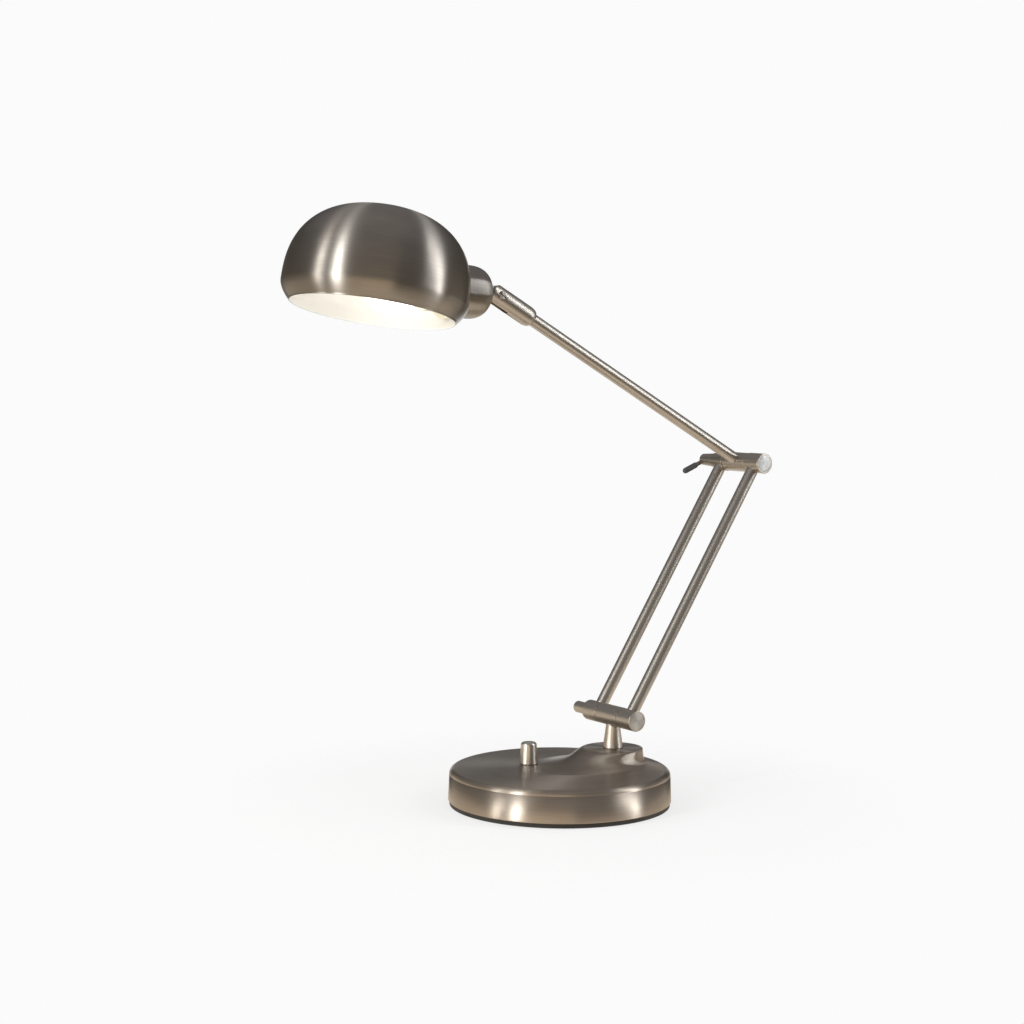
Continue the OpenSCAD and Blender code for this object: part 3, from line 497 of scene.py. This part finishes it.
# ---- Fork and tongue ----
# A turned sleeve, slotted for the flat steel tongue of the head, with a slotted pivot
# screw through both and a nut on the far side. All edges are broken.

pivot_at = Matrix.Translation((-0.05941790, 0, 0.38371692))
fork_at = pivot_at @ Matrix.Rotation(radians(arm_lean), 4, "Y")
cup_at = pivot_at @ Matrix.Rotation(radians(4.45), 4, "Y")


def softened(name, cad_node, place, edge):
    """A copy of a CAD node with its loose triangles merged and its sharp edges rounded.
    UV u is the distance along the axis of the place and v the turn about it."""
    mesh = nodes[cad_node].data.copy()
    mesh.materials.clear()
    mesh.name = name
    piece = bpy.data.objects.new(name, mesh)
    bpy.context.scene.collection.objects.link(piece)
    form = bmesh.new()
    form.from_mesh(mesh)
    bmesh.ops.remove_doubles(form, verts=form.verts, dist=2e-6)
    bmesh.ops.dissolve_limit(form, angle_limit=radians(0.5), verts=form.verts, edges=form.edges)
    axis = place.to_3x3() @ Vector((0, 0, 1))
    for step in np.arange(-0.006, 0.036, 0.003):
        bmesh.ops.bisect_plane(form, geom=form.verts[:] + form.edges[:] + form.faces[:], dist=1e-7,
                               plane_co=place @ Vector((0, 0, step)), plane_no=axis)
    form.to_mesh(mesh)
    form.free()
    bevel = piece.modifiers.new("edge", "BEVEL")
    bevel.width = edge * MM
    bevel.segments = 2
    bevel.limit_method = "ANGLE"
    bevel.angle_limit = radians(40)
    bevel.use_clamp_overlap = True
    graph = bpy.context.evaluated_depsgraph_get()
    done = bpy.data.meshes.new_from_object(piece.evaluated_get(graph))
    piece.modifiers.clear()
    piece.data = done
    done.name = name
    count = len(done.loops)
    corner = np.zeros(count, int)
    done.loops.foreach_get("vertex_index", corner)
    spots = np.zeros(len(done.vertices) * 3)
    done.vertices.foreach_get("co", spots)
    local = np.array(place.inverted())
    spots = (spots.reshape(-1, 3) @ local[:3, :3].T + local[:3, 3])[corner]
    layer = done.uv_layers.get("brush") or done.uv_layers.new(name="brush")
    turn_of = np.arctan2(spots[:, 1], spots[:, 0]) / (2 * np.pi)
    starts, totals = np.zeros(len(done.polygons), int), np.zeros(len(done.polygons), int)
    done.polygons.foreach_get("loop_start", starts)
    done.polygons.foreach_get("loop_total", totals)
    first = np.repeat(turn_of[starts], totals)
    turn_of = turn_of - np.round(turn_of - first)
    layer.data.foreach_set("uv", np.stack([spots[:, 2], turn_of], -1).ravel())
    done.shade_smooth()
    done.set_sharp_from_angle(angle=radians(38))
    return piece


dress(softened("fork_sleeve", "fork", fork_at @ along_u, 0.35),
      "upper_arm", "nickel", nickel_painted_lighter, "fork")
dress(softened("pivot_screw", "pivot_pin", fork_at @ along_y, 0.12),
      "upper_arm", "steel", nickel, "pivot_pin")
dress(softened("pivot_far_nut", "pivot_nut", fork_at @ along_y, 0.2),
      "upper_arm", "steel", nickel, "pivot_nut")
dress(softened("tongue_plate", "tongue", cup_at @ along_u, 0.25),
      "head", "steel", nickel, "tongue")
refinish(fibre, "fork_washers")
refinish(zinc, "tongue_nut")


# ---- Cup ----
# A spun steel cup over the lampholder, nickel plated and brushed round its own axis,
# with its mouth cut to the side of the dome.

shade_at = (cup_at @ Matrix.Rotation(radians(-2.8), 4, "X")
            @ Matrix.Translation((-0.1021, 0, -0.0086))
            @ Matrix.Rotation(radians(6.45), 4, "Y"))
shade_r, shade_h, shade_power, rim_r, rim_drop, rim_power = 66.9, 61.1, 2.44, 59.5, 13.4, 1.8
cup_r, cup_inner_r, cup_start, cup_wall, cup_nose, cup_power = 19.4, 18.2, 9.4, 1.2, 18, 2.76
stud_r = 4.03
cup_turn = np.linspace(0, 2 * np.pi, 160, endpoint=False)


def beyond_dome(u, r):
    """How far a point of the cup, at distance u and radius r, lies outside the dome: the
    radius from the dome's axis less the radius of the dome at that height."""
    local = np.concatenate([spun(r, cup_turn, u).T * MM, np.ones((1, len(u)))])
    x, y, z, _ = np.array(shade_at.inverted() @ cup_at @ along_u) @ local / MM
    over = np.clip(z / shade_h, 0, 0.999)
    under = np.clip(-z / rim_drop, 0, 1)
    dome_r = (shade_r * (1 - over ** shade_power) ** (1 / shade_power)
              - (shade_r - rim_r) * under ** rim_power)
    return np.hypot(x, y) - dome_r


def mouth(r):
    """The distance at which the cup's wall of radius r meets the dome, by halving."""
    low, high = np.full(len(cup_turn), 27.0), np.full(len(cup_turn), 60.0)
    for _ in range(40):
        middle = (low + high) / 2
        outside = beyond_dome(middle, r) > 0
        low, high = np.where(outside, middle, low), np.where(outside, high, middle)
    return low


def cup_curve(r, start):
    """A flat-nosed round end: radius and distance as powers of the sine and cosine."""
    a = np.linspace(0, np.pi / 2, 34)
    nose = start + cup_nose * (1 - np.cos(a) ** (2 / cup_power))
    curve = np.stack([r * np.sin(a) ** (2 / cup_power), nose], -1)
    return np.concatenate([[[stud_r, start]], curve[curve[:, 0] > 4.6]])


inner_start = cup_start + cup_wall
outer_side, inner_side = cup_start + cup_nose, inner_start + cup_nose
outer_mouth, inner_mouth = mouth(cup_r), mouth(cup_inner_r)
levels = [*cup_curve(cup_r, cup_start)]
levels += [(cup_r, outer_side + (outer_mouth - outer_side) * s) for s in (0.1, 0.5, 0.9, 0.985)]
levels += [(cup_r - 0.1, outer_mouth - 0.03), (cup_inner_r + 0.1, inner_mouth - 0.03)]
levels += [(cup_inner_r, inner_side + (inner_mouth - inner_side) * s) for s in (0.98, 0.5, 0.1)]
levels += [*cup_curve(cup_inner_r, inner_start)[::-1]]
walls = [spun(r, cup_turn, u) for r, u in levels]
cup = wrapped("cup_spun", np.stack(walls), cup_at @ along_u, loop=True)
dress(cup, "head", "nickel", nickel, "cup")


# ---- Lampholder ----
# A cream thermoplastic lampholder with a brass contact, clamped between the stud and
# the ribbed ring that holds the shade.

cream = speckled("cream_plastic", (0.74, 0.68, 0.52), (0.80, 0.74, 0.58), 0.3, 400, 0.05)
brass = speckled("brass_contact", (0.55, 0.36, 0.13), (0.68, 0.47, 0.19), 0.3, 600, 0.05, 1.0)
refinish(brass, "centre_contact")
holder_profile = rounded(
    [(0, 18.4), (stud_r, 18.4), (stud_r, 15.9), (12, 15.9), (17, 22.9), (17, 62), (13.6, 62),
     (13.6, 29.9), (3.03, 29.9), (3.03, 27.9), (0, 27.9)],
    (0.1, 0.2, 1.0, 1.5, 0.6, 0.4, 0.3, 0.2, 0.1))
dress(turned("lampholder_body", holder_profile, cup_at @ along_u),
      "head", "holder", cream, "lampholder")

dome_away, dome_inner_r, ring_r, ring_bore, ring_h = 102.1, 65.9, 21.5, 17.03, 4
ring_start = dome_away - np.sqrt(dome_inner_r ** 2 - ring_r ** 2) + 1.6
ring_end = ring_start + ring_h
ring_profile = rounded([(ring_bore, ring_start), (ring_r, ring_start), (ring_r, ring_end),
                        (ring_bore, ring_end)], (0.2, 0.4, 0.6, 0.2), loop=True)
r, h = ring_profile.T
ring_turn = np.linspace(0, 2 * np.pi, 288, endpoint=False)
ribs = 0.3 * (0.5 - 0.5 * np.cos(36 * ring_turn)) * np.clip((r[:, None] - 20) / 1.2, 0, 1)
ring_points = spun(r[:, None] - ribs, ring_turn, h[:, None])
dress(wrapped("shade_ring_ribbed", ring_points, cup_at @ along_u, loop=True),
      "head", "holder", cream, "shade_ring")


# ---- Bulb ----
# A round bulb of opal glass, 45 mm across and lit, with a rolled metal screw cap that
# is turned into the lampholder.

screw_metal = speckled("rolled_screw_shell", (0.6, 0.59, 0.56), (0.72, 0.71, 0.68),
                       0.28, 500, 0.04, 1.0)
cap_u = np.linspace(38.5, 60.6, 90)
cap_turn = np.linspace(0, 2 * np.pi, 96, endpoint=False)
groove = 0.55 * (0.5 - 0.5 * np.cos(2 * np.pi * cap_u[:, None] / 3.6 - cap_turn))
groove *= np.clip((60 - cap_u[:, None]) / 3, 0, 1) * np.clip((cap_u[:, None] - 38.5) / 2, 0, 1)
cap_r = np.concatenate([np.broadcast_to(np.array([[0], [4.6], [5], [12]]), (4, 96)), 13 - groove,
                        np.broadcast_to(np.array([[12.2], [12.2], [4.6], [0]]), (4, 96))])
cap_h = np.concatenate([[32.9, 32.9, 33.1, 36.9], cap_u, [60.9, 38.3, 33.8, 33.7]])[:, None]
cap_points = spun(cap_r, cap_turn, cap_h)
dress(wrapped("bulb_screw_shell", cap_points, cup_at @ along_u),
      "head", "bulb_metal", screw_metal, "bulb_cap")

opal, tree, shader, _ = new_material("opal_glass")
where = node(tree, "TexCoord")
haze = node(tree, "TexNoise", {"Vector": where.outputs["Object"], "Scale": 60.0, "Detail": 2.0})
tone = node(tree, "Mix", {"Factor": haze.outputs["Fac"], 6: (0.94, 0.92, 0.87, 1),
                          7: (0.97, 0.95, 0.91, 1)}, data_type="RGBA")
tree.links.new(tone.outputs[2], shader.inputs["Base Color"])
tree.links.new(tone.outputs[2], shader.inputs["Emission Color"])
shader.inputs["Emission Strength"].default_value = 2.0
shader.inputs["Roughness"].default_value = 0.2
bulb_r, bulb_inner_r, bulb_mid, neck_r = 22.5, 21.6, 88.5, 12.7
neck = np.arcsin(neck_r / bulb_r)
sweep = np.linspace(-np.pi / 2 + neck, np.pi / 2, 60)
ball = np.stack([bulb_r * np.cos(sweep), bulb_mid + bulb_r * np.sin(sweep)], -1)
inside = np.stack([bulb_inner_r * np.cos(sweep[::-1]),
                   bulb_mid + bulb_inner_r * np.sin(sweep[::-1])], -1)[:-2]
glass_profile = np.concatenate([
    [[0, 61], [12.5, 61], [neck_r, 61.3], [12.75, 64], [12.8, 67]], ball,
    inside, [[11.8, 66], [11.8, 62], [0, 62]]])
dress(turned("bulb_globe", glass_profile, cup_at @ along_u), "head", "bulb", opal, "bulb_glass")


# ---- Dome shade ----
# Spun from 1 mm sheet, nickel plated and brushed round outside, white enamel inside,
# with a turned-in lip at the rim and a round hole for the lampholder.

def dome_side(inset):
    """The side from the rim to the top: radius and height as powers of the cosine and
    sine above the widest circle, and a gentle curve in to the rim below it."""
    t = np.linspace(1, 0, 14, endpoint=False)
    a = np.linspace(0, np.pi / 2, 72)
    below = np.stack([shade_r - (shade_r - rim_r) * t ** rim_power - inset, -rim_drop * t], -1)
    above = np.stack([(shade_r - inset) * np.cos(a) ** (2 / shade_power),
                      (shade_h - inset) * np.sin(a) ** (2 / shade_power)], -1)
    above[-1, 0] = 0
    return np.concatenate([below, above])


lip = np.linspace(0, np.pi, 9)[1:-1]
lip_points = np.stack([rim_r - 0.5 - 0.5 * np.cos(lip), -rim_drop - 0.35 * np.sin(lip)], -1)
dome_profile = np.concatenate([dome_side(1.0)[::-1], lip_points, dome_side(0.05)])
dome = turned("dome_spun", dome_profile, shade_at, 224)

hole = turned("hole_cutter", [(0, 24), (17.3, 24), (17.3, 72), (0, 72)], cup_at @ along_u, 96)
cut = dome.modifiers.new("hole", "BOOLEAN")
cut.object = hole
cut.operation = "DIFFERENCE"
cut.solver = "EXACT"
done = bpy.data.meshes.new_from_object(dome.evaluated_get(bpy.context.evaluated_depsgraph_get()))
dome.modifiers.clear()
dome.data = done
done.name = "dome_spun"
bpy.data.objects.remove(hole)
done.shade_smooth()
done.set_sharp_from_angle(angle=radians(60))

enamel = speckled("white_enamel", (0.88, 0.87, 0.84), (0.91, 0.90, 0.875), 0.35, 250, 0.04)
dress(dome, "head", "nickel", nickel, "shade")
dome.data.materials.append(enamel)
centres = np.zeros(len(done.polygons) * 3)
facing = np.zeros(len(done.polygons) * 3)
done.polygons.foreach_get("center", centres)
done.polygons.foreach_get("normal", facing)
local = np.array(shade_at.inverted())
centres = centres.reshape(-1, 3) @ local[:3, :3].T + local[:3, 3]
facing = facing.reshape(-1, 3) @ local[:3, :3].T
# Faces that look towards a point near the dome's middle are its enamelled inside.
inward = np.sum(centres * facing + [0, 0, 0.002] * facing, 1) < 0
done.polygons.foreach_set("material_index", inward.astype(int))


# ---- Table, light and camera ----
# A pale table top that keeps the lamp's soft shadow and looks warm in the metal, a white
# background, tall cool lamps at both sides, low warm ones along the table, and the camera
# where the photograph was taken.

camera_data = bpy.data.cameras.new("camera")
camera_data.sensor_width = 36.0
camera_data.lens = 69.717
camera_data.clip_end = 50.0
camera = bpy.data.objects.new("camera", camera_data)
bpy.context.scene.collection.objects.link(camera)
view_x = Vector((0.83461684, -0.55079686, 0.00612762))
view_y = Vector((0.03688579, 0.06698509, 0.99707193))
view_z = Vector((-0.54959454, -0.83194701, 0.07622346))
spot = Vector((-0.85410794, -1.22469967, 0.33644745))
turned_to_view = Matrix((view_x, view_y, view_z)).transposed().to_4x4()
camera.matrix_world = Matrix.Translation(spot) @ turned_to_view
bpy.context.scene.camera = camera
bpy.context.scene.view_settings.view_transform = "Standard"

toward = Vector((-0.5512, -0.8344, 0)).normalized()
sideways = Vector((0.8344, -0.5512, 0)).normalized()


def soft_lamp(name, azimuth, elevation, distance, width, height, power, colour,
              centre=(0, 0, 0.22)):
    """A rectangular lamp that faces the centre: azimuth 0 is towards the camera and grows
    to its right, and the direction is the sum of the two weighted by cosine and sine."""
    a, e = radians(azimuth), radians(elevation)
    way = (toward * np.cos(a) + sideways * np.sin(a)) * np.cos(e) + Vector((0, 0, np.sin(e)))
    data = bpy.data.lights.new(name, "AREA")
    data.shape = "RECTANGLE"
    data.size, data.size_y = width, height
    data.energy = power
    data.color = colour
    lamp = bpy.data.objects.new(name, data)
    bpy.context.scene.collection.objects.link(lamp)
    faced = way.to_track_quat("Z", "Y").to_matrix().to_4x4()
    lamp.matrix_world = Matrix.Translation(Vector(centre) + way * distance) @ faced
    lamp.visible_camera = False


soft_lamp("key_left", -68, 12, 1.6, 0.2, 1.4, 5.5, (0.97, 0.98, 0.96))
soft_lamp("key_inner", -46, 10, 1.6, 0.2, 1.5, 13.0, (0.94, 0.98, 1.0))
soft_lamp("low_front", -20, 0, 0.9, 1.2, 0.2, 1.7, (1.0, 0.83, 0.62), (0, 0, 0.05))
soft_lamp("low_left", -104, 0, 0.9, 1.5, 0.34, 1.0, (1.0, 0.89, 0.74), (0, 0, 0.07))
soft_lamp("low_right", 116, 0, 0.9, 0.7, 0.3, 0.4, (1.0, 0.93, 0.86), (0, 0, 0.05))
soft_lamp("rim_right", 82, 21, 1.6, 0.2, 1.5, 11.0, (0.92, 0.96, 1.0))

world = bpy.data.worlds.new("studio")
bpy.context.scene.world = world
world.use_nodes = True
tree = world.node_tree
tree.nodes.clear()
path = node(tree, "LightPath")
way = node(tree, "TexCoord")
right_of = node(tree, "VectorMath", {0: way.outputs["Generated"], 1: view_x},
                operation="DOT_PRODUCT")
ahead = node(tree, "VectorMath", {0: way.outputs["Generated"], 1: -view_z}, operation="DOT_PRODUCT")
height = node(tree, "SeparateXYZ", {0: way.outputs["Generated"]})
off = node(tree, "Math", {0: right_of.outputs["Value"]}, operation="ABSOLUTE")
within = node(tree, "MapRange", {"Value": off.outputs[0], "From Min": 0.22, "From Max": 0.30,
                                 "To Min": 1.0, "To Max": 0.0}, interpolation_type="SMOOTHSTEP")
below = node(tree, "MapRange", {"Value": height.outputs["Z"], "From Min": 0.10, "From Max": 0.18,
                                "To Min": 1.0, "To Max": 0.0}, interpolation_type="SMOOTHSTEP")
front = node(tree, "MapRange", {"Value": ahead.outputs["Value"], "From Min": 0.5, "From Max": 0.8,
                                "To Min": 0.0, "To Max": 1.0}, interpolation_type="SMOOTHSTEP")
window = node(tree, "Math", {0: within.outputs[0], 1: below.outputs[0]}, operation="MULTIPLY")
window = node(tree, "Math", {0: window.outputs[0], 1: front.outputs[0]}, operation="MULTIPLY")
through = node(tree, "Math", {0: path.outputs["Is Glossy Ray"],
                              1: path.outputs["Is Transmission Ray"]}, operation="MAXIMUM")
mirrored = node(tree, "Math", {0: window.outputs[0], 1: through.outputs[0]}, operation="MULTIPLY")
white_share = node(tree, "Math", {0: mirrored.outputs[0], 1: path.outputs["Is Camera Ray"]},
                   operation="MAXIMUM")
level = node(tree, "ValToRGB", {0: node(tree, "MapRange", {
    "Value": height.outputs["Z"], "From Min": -1.0, "From Max": 1.0}).outputs[0]})
stops = level.color_ramp.elements
stops[0].position, stops[0].color = 0.0, (0.80, 0.70, 0.58, 1)
stops[1].position, stops[1].color = 1.0, (0.36, 0.355, 0.36, 1)
for place, tint in ((0.12, (0.52, 0.42, 0.30)), (0.27, (0.12, 0.098, 0.07)),
                    (0.42, (0.08, 0.071, 0.055)), (0.53, (0.075, 0.066, 0.052)),
                    (0.64, (0.09, 0.09, 0.083)), (0.8, (0.25, 0.245, 0.26))):
    stops.new(place).color = (*tint, 1)
studio = node(tree, "Mix", {"Factor": through.outputs[0], 6: (0.62, 0.61, 0.60, 1),
                            7: level.outputs[0]}, data_type="RGBA")
colour = node(tree, "Mix", {"Factor": white_share.outputs[0], 6: studio.outputs[2],
                            7: (0.965, 0.965, 0.965, 1)}, data_type="RGBA")
background = node(tree, "Background", {"Color": colour.outputs[2], "Strength": 1.0})
node(tree, "OutputWorld", {"Surface": background.outputs[0]})

table_r = np.concatenate([[0], np.linspace(30, 900, 30)])
table = turned("table_top", np.stack([table_r, np.full(31, -0.4)], -1)[::-1], sides=96)
table_white, tree, shader, output = new_material("pale_table")
path = node(tree, "LightPath")
where = node(tree, "TexCoord")
span = node(tree, "VectorMath", {0: where.outputs["Object"]}, operation="LENGTH")
reach = node(tree, "MapRange", {
    "Value": path.outputs["Is Glossy Ray"], "To Min": 1.0, "To Max": 0.65})
span = node(tree, "Math", {0: span.outputs["Value"], 1: reach.outputs[0]}, operation="MULTIPLY")
fade = node(tree, "MapRange", {"Value": span.outputs[0], "From Min": 0.16, "From Max": 0.34},
            interpolation_type="SMOOTHSTEP")
grain = node(tree, "TexNoise", {"Vector": where.outputs["Object"], "Scale": 300.0})
pale = node(tree, "Mix", {"Factor": grain.outputs["Fac"], 6: (0.298, 0.298, 0.298, 1),
                          7: (0.302, 0.302, 0.302, 1)}, data_type="RGBA")
seen = node(tree, "Math", {0: path.outputs["Is Camera Ray"], 1: path.outputs["Is Glossy Ray"]},
            operation="MAXIMUM")
seen = node(tree, "Math", {0: seen.outputs[0], 1: path.outputs["Is Transmission Ray"]},
            operation="MAXIMUM")
glow = node(tree, "MapRange", {
    "Value": path.outputs["Is Glossy Ray"], "To Min": 0.66, "To Max": 0.74})
glow = node(tree, "Math", {0: seen.outputs[0], 1: glow.outputs[0]}, operation="MULTIPLY")
plain = node(tree, "BsdfDiffuse", {"Color": pale.outputs[2]})
warm = node(tree, "Mix", {"Factor": path.outputs["Is Glossy Ray"], 6: (1, 1, 1, 1),
                          7: (1.0, 0.84, 0.64, 1)}, data_type="RGBA")
lit = node(tree, "Emission", {"Color": warm.outputs[2], "Strength": glow.outputs[0]})
surface = node(tree, "AddShader", {0: plain.outputs[0], 1: lit.outputs[0]})
clear = node(tree, "BsdfTransparent")
faded = node(tree, "MixShader", {0: fade.outputs[0], 1: surface.outputs[0], 2: clear.outputs[0]})
tree.links.new(faded.outputs[0], output.inputs["Surface"])
tree.nodes.remove(shader)
table.data.materials.append(table_white)
